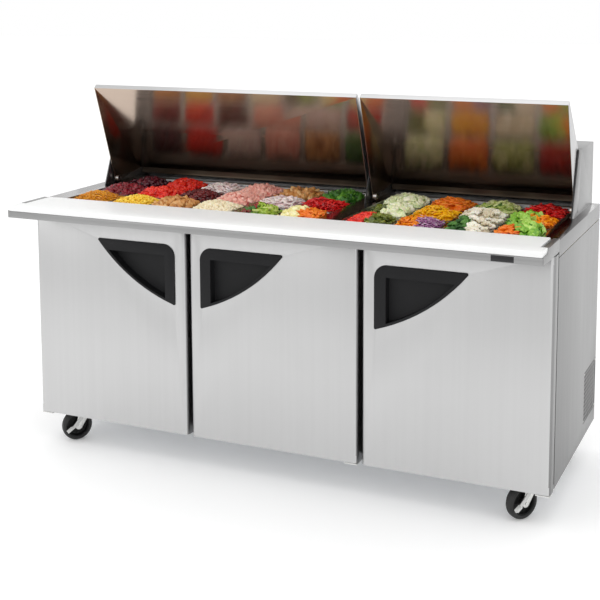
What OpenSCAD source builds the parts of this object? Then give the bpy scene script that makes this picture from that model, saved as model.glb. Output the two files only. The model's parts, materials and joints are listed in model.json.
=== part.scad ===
// Three-door refrigerated sandwich prep table on casters.
// Two hinged hood lids cover two rows of openings for lift-out food pans.
// Origin: middle of the footprint on the floor. The doors face -Y, +Z is up.

/* [Cabinet] */
// Width over the side panels
body_w = 1845; // [1835:1:1860]
// Depth from the display's face to the back of the hood
body_d = 864; // [864:1:870]
// Height of the worktop above the floor
counter_z = 885; // [880:1:890]
// Underside of the cabinet above the floor
base_z = 127; // [125:1:130]
// Thickness of the insulated walls
wall_t = 50; // [45:1:55]
// Thickness of folded sheet metal
sheet = 1.5; // [1.2:0.1:2]

/* [Doors] */
// Front face of the doors, measured back from the front of the cutting board shelf
door_setback = 155; // [150:1:160]
// Thickness of a door without its gasket
door_t = 44; // [42:1:46]
// Thickness of a closed door gasket
gasket_t = 10; // [9:0.5:11]
// Gap between two doors
door_gap = 13; // [12:1:16]
// Bottom edge of the doors above the floor
door_z0 = 113; // [112:1:115]
// Top edge of the doors above the floor
door_z1 = 845; // [840:1:845]
// Radius of the doors' upright front edges
door_round = 15; // [10:1:18]
// Width of a recessed handle
handle_w = 303; // [280:1:310]
// Height of a recessed handle
handle_h = 208; // [190:1:215]
// Top edge of a handle above the floor
handle_z = 772; // [760:1:775]
// Distance from a door's opening edge to its handle
handle_inset = 42; // [40:1:50]
// Outward bow of a handle's slanted edge
handle_bow = 26; // [10:1:40]

/* [Cutting board] */
// Thickness of the cutting board
board_t = 19; // [16:1:20]
// Height of the steel fascia under the board
fascia_h = 22; // [20:1:23]

/* [Pans] */
// Pan columns in the left opening
left_columns = 6; // [6:1:6]
// Pan columns in the right opening
right_columns = 4; // [4:1:4]
// Pan rows from front to back
pan_rows = 3; // [3:1:3]
// Width taken by one pan column
pan_pitch_x = 163; // [162:0.5:163]
// Depth taken by one pan row
pan_pitch_y = 176.5; // [175:0.5:177]
// Depth of a pan
pan_deep = 100; // [65:1:100]
// Width of the worktop at the left of the pans
left_margin = 76.5; // [74:0.5:78]
// Width of the worktop between the two openings
divider_w = 78; // [76:1:80]

/* [Hood and lids] */
// Height of the hood's top above the floor
hood_z = 1100; // [1098:1:1104]
// Half the width of the hood over its side walls
hood_half_w = 895; // [894:1:898]
// Thickness of a hood side wall
hood_wall = 10; // [8:1:10]
// Lids' pivot line in front of the back of the hood
pivot_from_back = 248; // [246:1:250]
// Lids' pivot line above the worktop
pivot_rise = 13; // [13:0.5:14]
// Thickness of an insulated lid
lid_t = 18; // [16:1:18]
// Lid length ahead of the pivot, along the lid
lid_ahead = 359; // [350:1:360]
// Lid length behind the pivot, along the lid
lid_behind = 105; // [100:1:106]
// Distance from the pivot to the lid's inner face
lid_offset = 145; // [144:0.5:146]
// Lean of an open lid from upright, in degrees
lid_lean = 42.8; // [42.5:0.1:43]
// Turn from open to closed, in degrees
lid_swing = 70.5; // [70:0.1:70.5]
// Radius of a lid's hinge pins
lid_pin_r = 5; // [4:0.5:6]

/* [Casters] */
// Radius of a caster wheel
wheel_r = 55; // [54:1:55]
// Width of a caster wheel
wheel_w = 32; // [28:1:32]
// Distance from the swivel line to the wheel's axle
caster_trail = 30; // [26:1:32]
// Distance of the left casters from the middle of the cabinet
caster_left = 800; // [795:1:805]
// Distance of the right casters from the middle of the cabinet
caster_right = 838; // [830:1:838]
// Turn of the casters, seen from above, in degrees
caster_turn = -35; // [-40:1:0]

/* [Hidden] */
$fn = 48;

half_w = body_w / 2;
front_y = -body_d / 2;
back_y = body_d / 2;
fascia_y = front_y + 1;
door_y = front_y + door_setback;
door_back_y = door_y + door_t;
frame_y = door_back_y + gasket_t;
frame_back_y = frame_y + 50;
header_back_y = frame_y + 13;
panel_back_y = back_y - 2;
board_z = counter_z + 7 - board_t;
shelf_z0 = board_z - fascia_h;
counter_front_y = frame_y - 1;
arm_t = 3;
arm_flange = 19;
arm_z = counter_z + 5;
notch_y = front_y + 55;
panel_top_z = counter_z - 53;
flange_z = counter_z - 51;
opening_z0 = base_z + 48;
opening_z1 = counter_z - 85;
mullion_half = 50;
mullion_z1 = counter_z - 115;
gap = 0.3;

door_w = (body_w - 2 * door_gap) / 3;
door_left = [for (i = [0:2]) -half_w + i * (door_w + door_gap)];
hinge_in = 20;
hinge_y = door_y + 18;
hinge_x = [door_left[0] + hinge_in, door_left[1] + door_w - hinge_in,
    door_left[2] + door_w - hinge_in];
hinge_pin_r = 6;
pin_reach = 20;
hinge_plate = 2;
running = 0.05;
gasket_in = 20;
gasket_w = 18;

cavity_half = half_w - wall_t;
cavity_y1 = panel_back_y - wall_t;
cavity_z1 = counter_z - 17;
step_x = 290;
step_y = 185;
step_z = 395;
machine_x = 320;
machine_y = 215;
machine_z = 365;
shelf_z = 470;
shelf_half = 285;
shelf_pitch = 583;
shelf_y0 = frame_back_y + 12;
shelf_y1 = cavity_y1 - 10;

ledge_z = counter_z - 9;
ledge_w = 10;
rail_w = 20;
pan_y0 = front_y + 215;
pan_y1 = pan_y0 + pan_rows * pan_pitch_y;
left_x0 = -half_w + left_margin;
left_x1 = left_x0 + left_columns * pan_pitch_x;
right_x0 = left_x1 + divider_w;
right_x1 = right_x0 + right_columns * pan_pitch_x;
pan_rim_z = ledge_z + gap;
pan_rim = 10.5;
pan_gap = 1;

pivot_y = back_y - pivot_from_back;
pivot_z = counter_z + pivot_rise;
part_x = left_x1 + divider_w / 2 + 3.5;
part_t = 4;
lid_x = [[-881, part_x - 6.5], [part_x + 7.5, 884]];
cheek_t = 2;
boss_t = 14;
boss_r = 12;
lid_skin = 1.2;
closed_slope = lid_swing + lid_lean - 90;
tail_r = 193;
tail_t = 2.5;
hood_top_y = pivot_y + 47;

caster_front_y = frame_y + 36;
caster_rear_y = back_y - 99;
crown_z = wheel_r * 2 + 2;
crown_t = 4;
plate_z = base_z - 4;
axle_r = 5;
axle_y = -caster_trail;
fork_gap = wheel_w / 2 + 3;
fork_t = 3;
pedal_y = axle_y + 8;
pedal_z = wheel_r + 28;
pedal_pin_r = 3;
pedal_x = fork_gap + fork_t + 0.4;
pedal_t = 3;

// A box between two corners
module slab(low, high) {
    translate(low) cube(high - low);
}

// The same shape on both sides of the middle plane
module both_sides() {
    children();
    mirror([1, 0, 0]) children();
}

// A rectangular ring lying flat, its inner edge set in by w
module ring(low, high, w) {
    difference() {
        slab(low, high);
        slab([low[0] + w, low[1] + w, low[2] - 1], [high[0] - w, high[1] - w, high[2] + 1]);
    }
}

// A round bar along one axis
module bar_x(x0, x1, y, z, r) {
    translate([x0, y, z]) rotate([0, 90, 0]) cylinder(r = r, h = x1 - x0);
}
module bar_y(x, y0, y1, z, r) {
    translate([x, y0, z]) rotate([-90, 0, 0]) cylinder(r = r, h = y1 - y0);
}
module bar_z(x, y, z0, z1, r) {
    translate([x, y, z0]) cylinder(r = r, h = z1 - z0);
}

// An arc of points from angle a0 to a1
function arc(c, r, a0, a1, n) = [
    for (i = [0:n])
        let (a = a0 + (a1 - a0) * i / n) [c[0] + r * cos(a), c[1] + r * sin(a)]
];

grille_y = [back_y - 209, back_y - 9];
grille_z = [base_z + 39, base_z + 215];
rear_grille_x = [machine_x + 15, half_w - 28];

// Outer side panels with a hole for the grille at the right
module side_panels() {
    color("silver") {
        mirror([1, 0, 0]) side_panel();
        difference() {
            side_panel();
            slab([half_w - 5, grille_y[0], grille_z[0]], [half_w + 1, grille_y[1], grille_z[1]]);
        }
    }
}
module side_panel() {
    slab([half_w - sheet, frame_y, base_z - 11], [half_w, panel_back_y, panel_top_z]);
}

// Floor sheet of the cabinet
module base_pan() {
    color("gray")
        slab([-half_w + sheet, frame_y, base_z], [half_w - sheet, panel_back_y - sheet, base_z + sheet]);
}

// Rear sheet with a hole for the machine compartment's grille
module back_panel() {
    color("silver") difference() {
        slab([-half_w + sheet, panel_back_y - sheet, base_z], [half_w - sheet, panel_back_y, panel_top_z]);
        slab([rear_grille_x[0], panel_back_y - 5, grille_z[0]],
            [rear_grille_x[1], panel_back_y + 1, grille_z[1]]);
        bar_y(machine_x + 30, panel_back_y - 5, panel_back_y + 1, base_z + 22, 8);
    }
}

// The space inside the liner, grown by t on the walls
module cavity(t) {
    slab([-cavity_half - t, frame_back_y, opening_z0 - t], [cavity_half + t, cavity_y1 + t, cavity_z1]);
}

// The raised step over the machine compartment, shrunk by t
module step(t) {
    slab([step_x + t, step_y + t, 0], [half_w + 50, back_y + 50, step_z - t]);
}

// Foam between the outer sheets and the liner
module foam_insulation() {
    color("khaki") difference() {
        slab([-half_w + sheet, frame_back_y, base_z + sheet],
            [half_w - sheet, panel_back_y - sheet, panel_top_z]);
        difference() {
            slab([-cavity_half - sheet, frame_back_y - 1, opening_z0 - sheet],
                [cavity_half + sheet, cavity_y1 + sheet, cavity_z1]);
            step(sheet);
        }
        slab([machine_x, machine_y, 0], [half_w + 50, back_y + 50, machine_z]);
    }
}

// Inner box, open at the front and the top
module inner_liner() {
    color("gainsboro") difference() {
        cavity(sheet);
        difference() {
            slab([-cavity_half, frame_back_y - 1, opening_z0], [cavity_half, cavity_y1, counter_z]);
            step(0);
        }
        step(sheet);
    }
}

// Black frame around the three door openings
module door_frame() {
    color("dimgray") {
        slab([-half_w + sheet, frame_y, base_z + sheet], [half_w - sheet, frame_back_y, opening_z0]);
        slab([-half_w + sheet, frame_y, opening_z1], [half_w - sheet, header_back_y, shelf_z0]);
        both_sides() {
            slab([cavity_half, frame_y, opening_z0], [half_w - sheet, frame_back_y, opening_z1]);
            translate([(door_w + door_gap) / 2, 0, 0]) {
                slab([-mullion_half, frame_y, opening_z0], [mullion_half, frame_back_y, mullion_z1]);
                slab([-mullion_half, frame_y, mullion_z1], [mullion_half, header_back_y, opening_z1]);
            }
        }
    }
}

// A pan opening's dropped wall and ledge
module pan_ledge(x0, x1) {
    ring([x0 - sheet, pan_y0 - sheet, ledge_z - sheet], [x1 + sheet, pan_y1 + sheet, counter_z], sheet);
    ring([x0 - sheet, pan_y0 - sheet, ledge_z - sheet], [x1 + sheet, pan_y1 + sheet, ledge_z],
        ledge_w + sheet);
}

// Folded worktop with its two pan openings
module counter_top() {
    color("silver") {
        difference() {
            slab([-half_w, counter_front_y, flange_z], [half_w, back_y, counter_z]);
            slab([-half_w + sheet, counter_front_y + sheet, flange_z - 1],
                [half_w - sheet, back_y - sheet, counter_z - sheet]);
            slab([left_x0, pan_y0, 0], [left_x1, pan_y1, counter_z + 1]);
            slab([right_x0, pan_y0, 0], [right_x1, pan_y1, counter_z + 1]);
            slab([-half_w + sheet, counter_front_y - 1, flange_z - 1],
                [half_w - sheet, counter_front_y + sheet, shelf_z0]);
        }
        pan_ledge(left_x0, left_x1);
        pan_ledge(right_x0, right_x1);
    }
}

// Adapter bars between the pan rows
module pan_rail(x0, x1, y) {
    difference() {
        slab([x0 + ledge_w, y - rail_w / 2, ledge_z - 12], [x1 - ledge_w, y + rail_w / 2, ledge_z]);
        slab([x0, y - rail_w / 2 + sheet, ledge_z - 13],
            [x1, y + rail_w / 2 - sheet, ledge_z - sheet]);
    }
}
module pan_rails() {
    color("gainsboro") for (row = [1:pan_rows - 1]) {
        pan_rail(left_x0, left_x1, pan_y0 + row * pan_pitch_y);
        pan_rail(right_x0, right_x1, pan_y0 + row * pan_pitch_y);
    }
}

// Folded shelf that carries the board, between its end arms
module board_shelf() {
    x = half_w - arm_t;
    color("darkgray") difference() {
        slab([-x, fascia_y, shelf_z0], [x, counter_front_y, board_z]);
        slab([-half_w, fascia_y + sheet, shelf_z0 + sheet], [half_w, back_y, board_z - sheet]);
        slab([-half_w, fascia_y + 25, shelf_z0 - 1], [half_w, back_y, shelf_z0 + 5]);
    }
}

// Arms at both ends of the shelf, each with a flange beside the board's notch
module arm_section() {
    polygon([[fascia_y, shelf_z0], [counter_front_y, shelf_z0], [counter_front_y, arm_z],
        [notch_y + 14, arm_z], [notch_y, board_z + 3], [fascia_y, board_z + 3]]);
}
module board_brackets() {
    color("gray") both_sides() {
        along_x(half_w - arm_t, half_w) arm_section();
        slab([half_w - arm_flange, notch_y + 14, arm_z - sheet], [half_w - 1, counter_front_y, arm_z]);
        slab([half_w - arm_flange, notch_y + 14, board_z],
            [half_w - arm_flange + 2, counter_front_y, arm_z]);
    }
}

// White board with a notch at each rear corner
module cutting_board() {
    board_x = half_w - arm_t - gap;
    color("white") difference() {
        slab([-board_x, fascia_y, board_z + gap], [board_x, counter_front_y - 2, board_z + board_t]);
        both_sides()
            slab([half_w - arm_flange - 7, notch_y + 10, board_z - 1],
                [half_w + 1, back_y, counter_z + 50]);
    }
}

// Temperature display on the fascia
module display() {
    color("black") slab([770, front_y, shelf_z0 + 2], [837, fascia_y, board_z - 2]);
}

// Lid profile in the side plane, open, with the pivot at the origin
function plate_point(s, d) = [s * cos(closed_slope) - d * sin(closed_slope),
    s * sin(closed_slope) + d * cos(closed_slope)];

module lid_section(s0, s1, d0, d1) {
    polygon([plate_point(s0, d0), plate_point(s1, d0), plate_point(s1, d1), plate_point(s0, d1)]);
}

module tail_section() {
    polygon(concat(arc([0, 0], tail_r, 82, 70, 6), arc([0, 0], tail_r - tail_t, 70, 82, 6)));
}

module cheek_section() {
    difference() {
        union() {
            polygon([plate_point(-lid_ahead, lid_offset + 1), [-lid_offset * 0.5, -9], [0, -boss_r],
                [boss_r, 0], plate_point(lid_behind, lid_offset + 1)]);
            circle(r = boss_r);
        }
        circle(r = lid_pin_r + running);
    }
}
module boss_section() {
    difference() {
        circle(r = boss_r);
        circle(r = lid_pin_r + running);
    }
}

// Sweeps a side-plane profile from x0 to x1
module along_x(x0, x1) {
    translate([x0, 0, 0]) rotate([90, 0, 90]) linear_extrude(height = x1 - x0) children();
}

module lid(x0, x1) {
    color("lightgray") translate([0, pivot_y, pivot_z]) rotate([-lid_swing, 0, 0]) {
        difference() {
            along_x(x0, x1) lid_section(-lid_ahead, lid_behind, lid_offset, lid_offset + lid_t);
            along_x(x0 + lid_skin, x1 - lid_skin)
                lid_section(-lid_ahead + lid_skin, lid_behind + 1, lid_offset + lid_skin,
                    lid_offset + lid_t - lid_skin);
        }
        along_x(x0, x1) tail_section();
        along_x(x0, x0 + cheek_t) cheek_section();
        along_x(x1 - cheek_t, x1) cheek_section();
        along_x(x0, x0 + boss_t) boss_section();
        along_x(x1 - boss_t, x1) boss_section();
    }
}
module lid_left() {
    lid(lid_x[0][0], lid_x[0][1]);
}
module lid_right() {
    lid(lid_x[1][0], lid_x[1][1]);
}

// Hood behind the lids: side walls, centre partition, top and back
hood_foot_y = pivot_y - 61;
hood_brow_y = pivot_y + 29;
module hood_wall_section(front_top_y) {
    difference() {
        polygon([[hood_foot_y, counter_z], [front_top_y, hood_z - sheet],
            [back_y - sheet, hood_z - sheet], [back_y - sheet, counter_z]]);
        translate([pivot_y, pivot_z]) circle(r = lid_pin_r);
    }
}
module hood_box() {
    color("silver") {
        both_sides() along_x(hood_half_w - hood_wall, hood_half_w) hood_wall_section(hood_brow_y);
        along_x(part_x - part_t / 2, part_x + part_t / 2) hood_wall_section(hood_brow_y);
        slab([-hood_half_w, hood_top_y, hood_z - sheet], [hood_half_w, back_y, hood_z]);
        slab([-hood_half_w, back_y - sheet, counter_z], [hood_half_w, back_y, hood_z]);
    }
}

// Black seals along the hood's front edges
module wall_seal(x0, x1) {
    along_x(x0, x1)
        polygon([[hood_foot_y - 6, counter_z], [hood_foot_y, counter_z], [hood_brow_y, hood_z - sheet],
            [hood_brow_y - 6, hood_z - sheet]]);
}
module hood_gaskets() {
    color("black") {
        both_sides() wall_seal(hood_half_w - hood_wall, hood_half_w);
        wall_seal(part_x - part_t / 2, part_x + part_t / 2);
        slab([-hood_half_w + hood_wall, hood_top_y, hood_z - 12],
            [part_x - part_t / 2, hood_top_y + 3, hood_z - sheet]);
        slab([part_x + part_t / 2, hood_top_y, hood_z - 12],
            [hood_half_w - hood_wall, hood_top_y + 3, hood_z - sheet]);
    }
}

// Hinge pins from the hood walls into the lids' cheeks
module lid_pins() {
    color("gray") {
        bar_x(-hood_half_w, lid_x[0][0] + boss_t, pivot_y, pivot_z, lid_pin_r);
        bar_x(lid_x[0][1] - boss_t, lid_x[1][0] + boss_t, pivot_y, pivot_z, lid_pin_r);
        bar_x(lid_x[1][1] - boss_t, hood_half_w, pivot_y, pivot_z, lid_pin_r);
    }
}

// One column of lift-out pans
module pan(x, y) {
    body_x = pan_pitch_x - pan_gap - 2 * pan_rim;
    body_y = pan_pitch_y - pan_gap - 2 * pan_rim;
    translate([x, y, pan_rim_z]) difference() {
        union() {
            translate([-body_x / 2, -body_y / 2, sheet - pan_deep]) cube([body_x, body_y, pan_deep]);
            translate([-body_x / 2 - pan_rim, -body_y / 2 - pan_rim, 0])
                cube([body_x + 2 * pan_rim, body_y + 2 * pan_rim, sheet]);
        }
        translate([-body_x / 2 + sheet, -body_y / 2 + sheet, 2 * sheet - pan_deep])
            cube([body_x - 2 * sheet, body_y - 2 * sheet, pan_deep]);
    }
}
function column_x(i) = i <= left_columns ? left_x0 + (i - 0.5) * pan_pitch_x
    : right_x0 + (i - left_columns - 0.5) * pan_pitch_x;
module pans(i) {
    color("lightsteelblue") for (row = [0:pan_rows - 1])
        pan(column_x(i), pan_y0 + (row + 0.5) * pan_pitch_y);
}

// Outline of a recessed handle: upright side at 0, tip at w, top at 0
function bow(a, c, b, n) = [
    for (i = [1:n - 1])
        let (t = i / n) a * pow(1 - t, 2) + c * 2 * t * (1 - t) + b * pow(t, 2)
];
function handle_outline(w, h, r, rt, bulge) =
    let (tip = arc([w - rt, -rt], rt, 90, -50, 5), toe = arc([rt, rt - h], rt, -50, -180, 5),
        mid = (tip[5] + toe[0]) / 2, control = mid + 2 * bulge * [h, -w] / norm([w, h]))
    concat(arc([r, -r], r, 180, 90, 8), tip, bow(tip[5], control, toe[0], 12), toe);

// Runs an outline in the door's plane from y0 back to y1
module through_door(i, y0, y1) {
    opens_right = i == 0;
    x = opens_right ? door_left[i] + door_w - handle_inset : door_left[i] + handle_inset;
    translate([x, y1, handle_z]) mirror([opens_right ? 1 : 0, 0, 0])
        rotate([90, 0, 0]) linear_extrude(height = y1 - y0) children();
}
module handle_shape(inset) {
    incircle = handle_w * handle_h / (handle_w + handle_h + norm([handle_w, handle_h]));
    shrink = 1 - inset / incircle;
    translate([inset, -inset])
        polygon(handle_outline(handle_w * shrink, handle_h * shrink, 42 - inset, 5, handle_bow * shrink));
}

// Door profile seen from above, with rounded front edges, shrunk by t
module door_section(i, t) {
    x0 = door_left[i] + t;
    x1 = door_left[i] + door_w - t;
    y0 = door_y + t;
    r = door_round - t;
    translate([x0, y0 + r]) square([x1 - x0, door_back_y - y0 - r]);
    translate([x0 + r, y0]) square([x1 - x0 - 2 * r, r + 1]);
    translate([x0 + r, y0 + r]) circle(r = r);
    translate([x1 - r, y0 + r]) circle(r = r);
}
skin_t = 1.2;
handle_body_in = 3;
module door_skin(i) {
    color("silver") difference() {
        union() {
            difference() {
                translate([0, 0, door_z0]) linear_extrude(height = door_z1 - door_z0) door_section(i, 0);
                difference() {
                    translate([0, 0, door_z0 + skin_t])
                        linear_extrude(height = door_z1 - door_z0 - 2 * skin_t) door_section(i, skin_t);
                    slab([-half_w, door_back_y - 0.01, 0], [half_w, back_y, counter_z]);
                }
                slab([door_left[i] + skin_t, door_back_y - 1, door_z0 + skin_t],
                    [door_left[i] + door_w - skin_t, door_back_y + 1, door_z1 - skin_t]);
                through_door(i, door_y - 5, door_y + 5) handle_shape(handle_body_in);
            }
            for (z = [door_z0, door_z1 - pin_reach - 5])
                translate([hinge_x[i] - 16, hinge_y - 16, z]) cube([32, 32, pin_reach + 5]);
        }
        bar_z(hinge_x[i], hinge_y, door_z0 - 1, door_z0 + pin_reach + 1, hinge_pin_r + running);
        bar_z(hinge_x[i], hinge_y, door_z1 - pin_reach - 1, door_z1 + 1, hinge_pin_r + running);
    }
}

// Inner plate of a door, with a raised panel inside the gasket
module door_liner(i) {
    x0 = door_left[i];
    x1 = x0 + door_w;
    raised = gasket_in + gasket_w + 8;
    z0 = door_z0 + skin_t;
    z1 = door_z1 - skin_t;
    color("whitesmoke") {
        slab([x0 + skin_t, door_back_y - 4, z0], [x1 - skin_t, door_back_y, z1]);
        slab([x0 + raised, door_back_y - 1, z0 + raised], [x1 - raised, frame_y - 3, z1 - raised]);
    }
}

// Magnetic gasket around the back of a door
module door_gasket(i) {
    x0 = door_left[i] + gasket_in;
    x1 = door_left[i] + door_w - gasket_in;
    color("black") difference() {
        slab([x0, door_back_y, door_z0 + 24], [x1, frame_y - gap, door_z1 - 24]);
        slab([x0 + gasket_w, door_back_y - 1, door_z0 + 24 + gasket_w],
            [x1 - gasket_w, frame_y + 1, door_z1 - 24 - gasket_w]);
    }
}

// Black recessed handle with a flange on the door's face
pocket_d = 34;
pocket_in = 39;
module door_handle(i) {
    color("black") difference() {
        union() {
            through_door(i, door_y - 2, door_y) handle_shape(0);
            through_door(i, door_y - 1, door_y + pocket_d) handle_shape(handle_body_in);
        }
        through_door(i, door_y - 5, door_y + pocket_d - 3) intersection() {
            handle_shape(handle_body_in + 3);
            translate([pocket_in, -handle_h]) square([handle_w, handle_h - pocket_in]);
        }
    }
}

// Steel hinge plates with their pins, at the top and bottom of each door
module hinge_bracket(i) {
    outer = i == 0 ? door_left[0] + 1.7 : door_left[i] + door_w - 1.7;
    inner = i == 0 ? outer + 44 : outer - 44;
    x0 = min(outer, inner);
    x1 = max(outer, inner);
    plate_y = frame_y - hinge_plate;
    slab([x0, door_y + 2, door_z0 - 6], [x1, frame_y, door_z0 - 2]);
    slab([x0, plate_y, door_z0 - 6], [x1, frame_y, door_z0 + 20]);
    bar_z(hinge_x[i], hinge_y, door_z0 - 3, door_z0 + pin_reach, hinge_pin_r);
    slab([x0, door_y - 6, door_z1 + 1.5], [x1, frame_y, shelf_z0 - 0.5]);
    slab([x0, plate_y, door_z1 - 20], [x1, frame_y, shelf_z0 - 0.5]);
    bar_z(hinge_x[i], hinge_y, door_z1 - pin_reach, door_z1 + 2, hinge_pin_r);
}
module hinge_brackets() {
    color("dimgray") for (i = [0:2]) hinge_bracket(i);
}

// Wall posts and the clips that hold the shelves
module post(x, y, z0) {
    slab([x - 6, y - 5, z0], [x + 6, y + 5, opening_z1 - 60]);
}
clip_z = shelf_z - 16;
post_x = [cavity_half - 6, shelf_half + 7];
module shelf_pilasters() {
    color("silver") both_sides() for (x = post_x) {
        post(x, frame_back_y + 5, opening_z0);
        post(x, cavity_y1 - 5, step_z);
        for (y = [frame_back_y + 14, cavity_y1 - 14])
            slab([x - 12, y - 4, clip_z], [x + 6, y + 4, shelf_z - 5]);
    }
}

// Wire shelves, one behind each door
wire_r = 2.5;
cross_r = 4;
module wire_shelf(x) {
    wires = 22;
    pitch = (2 * shelf_half - 10) / wires;
    for (i = [0:wires])
        bar_y(x - shelf_half + 5 + i * pitch, shelf_y0, shelf_y1, shelf_z + 2, wire_r);
    for (y = [shelf_y0 + 4, (shelf_y0 + shelf_y1) / 2, shelf_y1 - 4])
        bar_x(x - shelf_half, x + shelf_half, y, shelf_z - 1, cross_r);
}
module wire_shelves() {
    color("gainsboro") for (x = [-shelf_pitch, 0, shelf_pitch]) wire_shelf(x);
}

// Evaporator under the pans: housing, finned coil and two fans
evap_half = 275;
evap_z = [520, 760];
module evaporator() {
    color("lightgray") {
        difference() {
            slab([-evap_half, cavity_y1 - 80, evap_z[0]], [evap_half, cavity_y1, evap_z[1]]);
            slab([-evap_half + 2, cavity_y1 - 78, evap_z[0] + 2],
                [evap_half - 2, cavity_y1 + 1, evap_z[1] - 2]);
            for (x = [-130, 130]) bar_y(x, cavity_y1 - 90, cavity_y1 - 70, 640, 75);
        }
        for (i = [0:20])
            slab([-evap_half + 15 + i * 26, cavity_y1 - 40, evap_z[0] + 8],
                [-evap_half + 17 + i * 26, cavity_y1, evap_z[1] - 8]);
        for (x = [-130, 130]) {
            bar_y(x, cavity_y1 - 76, cavity_y1 - 45, 640, 22);
            for (a = [0:72:288]) translate([x, cavity_y1 - 62, 640]) rotate([0, a, 0])
                translate([18, -2, -14]) rotate([25, 0, 0]) cube([50, 2, 28]);
        }
    }
}

// Sealed compressor on four feet
module compressor() {
    x = 455;
    y = 322;
    z = base_z + sheet;
    color("black") {
        translate([x, y, z]) rotate_extrude() polygon(concat([[0, 12], [72, 12], [72, 90]],
            arc([36, 110], 36, 0, 90, 6), [[0, 146]]));
        for (dx = [-62, 62], dy = [-62, 62]) bar_z(x + dx, y + dy, z, z + 14, 13);
        slab([x - 75, y - 75, z + 10], [x + 75, y + 75, z + 14]);
        bar_z(x + 30, y, z + 130, z + 165, 6);
    }
}

// Finned condenser beside the grille
module condenser() {
    x0 = half_w - 95;
    z0 = base_z + 30;
    color("darkgray") {
        for (i = [0:16])
            translate([x0, machine_y + 14 + i * 11, z0]) cube([60, 2, 190]);
        for (z = [z0 + 25, z0 + 70, z0 + 115, z0 + 160])
            bar_y(x0 + 30, machine_y + 6, machine_y + 200, z, 5);
        slab([x0 - 4, machine_y + 4, base_z + sheet], [x0 + 64, machine_y + 204, z0]);
    }
}

// Condenser fan: motor, ring and blades
module condenser_fan() {
    x0 = half_w - 190;
    y = machine_y + 104;
    z = base_z + 125;
    color("dimgray") {
        bar_x(x0, x0 + 55, y, z, 28);
        for (a = [0:72:288]) translate([x0 + 48, y, z]) rotate([a, 0, 0])
            translate([-1, 20, -14]) rotate([0, 25, 0]) cube([2, 60, 28]);
        slab([x0 + 10, y - 20, base_z + sheet], [x0 + 30, y + 20, z]);
    }
}

// Louvred grilles in the right side and the back
module louvres(long, high, count) {
    pitch = high / count;
    difference() {
        cube([long, sheet, high]);
        for (i = [0:count - 1]) translate([14, -1, (i + 0.45) * pitch]) cube([long - 28, 5, pitch * 0.4]);
    }
    for (i = [0:count - 1]) translate([14, -sheet, (i + 0.85) * pitch]) cube([long - 28, sheet + 0.01, 2]);
}
module vent_grilles() {
    color("gray") {
        translate([half_w - sheet, grille_y[0], grille_z[0]]) rotate([0, 0, 90])
            louvres(grille_y[1] - grille_y[0], grille_z[1] - grille_z[0], 12);
        translate([rear_grille_x[1], panel_back_y, grille_z[0]]) rotate([0, 0, 180])
            louvres(rear_grille_x[1] - rear_grille_x[0], grille_z[1] - grille_z[0], 12);
    }
}

// Cord gland in the back panel
module cord_gland() {
    z = base_z + 22;
    x = machine_x + 30;
    color("black") difference() {
        union() {
            bar_y(x, panel_back_y - 14, panel_back_y + 1.5, z, 8);
            bar_y(x, panel_back_y, panel_back_y + 1.5, z, 12);
        }
        bar_y(x, panel_back_y - 20, panel_back_y + 5, z, 4.5);
    }
}

// Caster top plates with their kingpins
caster_places = [[-caster_left, caster_front_y], [caster_right, caster_front_y],
    [-caster_left, caster_rear_y], [caster_right, caster_rear_y]];
module caster_plates() {
    color("silver") for (p = caster_places) translate([p[0], p[1], 0]) {
        slab([-47, -34, plate_z], [47, 34, base_z]);
        bar_z(0, 0, crown_z + 1, plate_z + 1, 8);
    }
}

// Caster bolts, hinge screws and grille screws
module screws() {
    color("darkgray") {
        for (p = caster_places, dx = [-38, 38], dy = [-26, 26])
            bar_z(p[0] + dx, p[1] + dy, plate_z - 4, plate_z, 6);
        for (i = [0:2], dx = [-11, 11])
            bar_y(hinge_x[i] + dx, frame_y - hinge_plate - 1.5, frame_y - hinge_plate, door_z0 + 8, 4);
        for (y = [grille_y[0] + 6, grille_y[1] - 6], z = [grille_z[0] + 6, grille_z[1] - 6])
            bar_x(half_w - sheet, half_w, y, z, 3.5);
        for (x = [rear_grille_x[0] + 6, rear_grille_x[1] - 6], z = [grille_z[0] + 6, grille_z[1] - 6])
            bar_y(x, panel_back_y, panel_back_y + 1.5, z, 3.5);
    }
}

// Places a caster's part on its swivel line, turned with the caster
module on_caster(x, y) {
    translate([x, y, 0]) rotate([0, 0, caster_turn]) children();
}

// Swivel fork with its axle ahead of the swivel line
module fork(x, y, brake) {
    color("silver") on_caster(x, y) difference() {
        union() {
            bar_z(0, 0, crown_z, crown_z + crown_t, 30);
            bar_z(0, 0, crown_z + crown_t, plate_z - gap, 25);
            for (s = [-1, 1]) {
                translate([s > 0 ? fork_gap : -fork_gap - fork_t, 0, 0]) rotate([90, 0, 90])
                    linear_extrude(height = fork_t) {
                        polygon([[-26, crown_z + crown_t], [26, crown_z + crown_t],
                            [axle_y + 13, wheel_r - 3], [axle_y - 13, wheel_r - 3]]);
                        translate([axle_y, wheel_r]) circle(r = 13);
                    }
                slab([s > 0 ? 0 : -fork_gap - fork_t, -26, crown_z],
                    [s > 0 ? fork_gap + fork_t : 0, 26, crown_z + crown_t]);
            }
            bar_x(-fork_gap - fork_t - 4, fork_gap + fork_t + 4, axle_y, wheel_r, axle_r);
        }
        bar_z(0, 0, crown_z - 1, plate_z + 1, 8 + running);
        if (brake) bar_x(fork_gap - 1, 50, pedal_y, pedal_z, pedal_pin_r + running);
    }
}

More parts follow.
